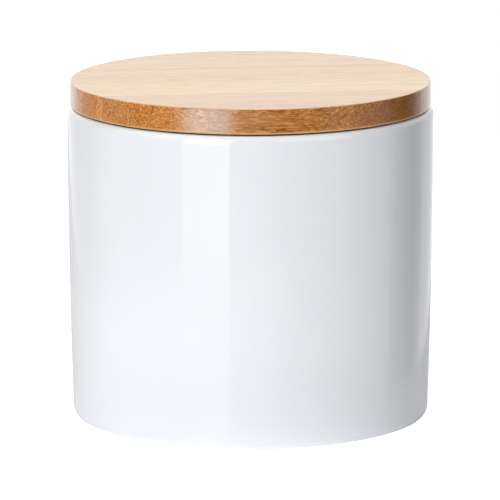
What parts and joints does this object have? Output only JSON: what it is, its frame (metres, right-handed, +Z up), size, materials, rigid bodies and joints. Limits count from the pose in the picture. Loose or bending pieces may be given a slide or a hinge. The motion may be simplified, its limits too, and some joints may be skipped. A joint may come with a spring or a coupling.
{
  "type": "ceramic canister",
  "caption": "Round white porcelain storage canister with a flat bamboo lid, glued of crossed slats, that pulls off on a finned silicone seal ring.",
  "frame": {"origin": "centre of the foot, on the surface that the canister stands on", "axes": "+Z up along the axis of the round body; +X along the grain of the lid's upper slats; -Y is the side that the picture shows, turned 7 degrees"},
  "size_m": [0.1, 0.1, 0.092],
  "materials": {
    "glazed_porcelain": "clear gloss glaze over white porcelain, bare and matt on the foot ring",
    "bamboo": "satin food-safe lacquer over caramel bamboo",
    "silicone": "milky translucent silicone"
  },
  "bodies": {
    "canister": {"canister": "glazed_porcelain"},
    "seal": {"seal_ring": "silicone"},
    "lid": {"lid_slat_1": "bamboo", "lid_slat_2": "bamboo", "lid_slat_3": "bamboo", "lid_slat_4": "bamboo", "lid_slat_5": "bamboo", "lid_slat_6": "bamboo", "plug_slat_1": "bamboo", "plug_slat_2": "bamboo", "plug_slat_3": "bamboo", "plug_slat_4": "bamboo", "plug_slat_5": "bamboo"}
  },
  "joints": [
    {"name": "lid_lift", "type": "slide", "parent": "canister", "child": "seal", "axis": [0, 0, 1], "range_m": [0, 0.12]},
    {"name": "lid_turn", "type": "hinge", "parent": "seal", "child": "lid", "pos_m": [0, 0, 0.0811], "axis": [0, 0, 1], "continuous": true}
  ]
}
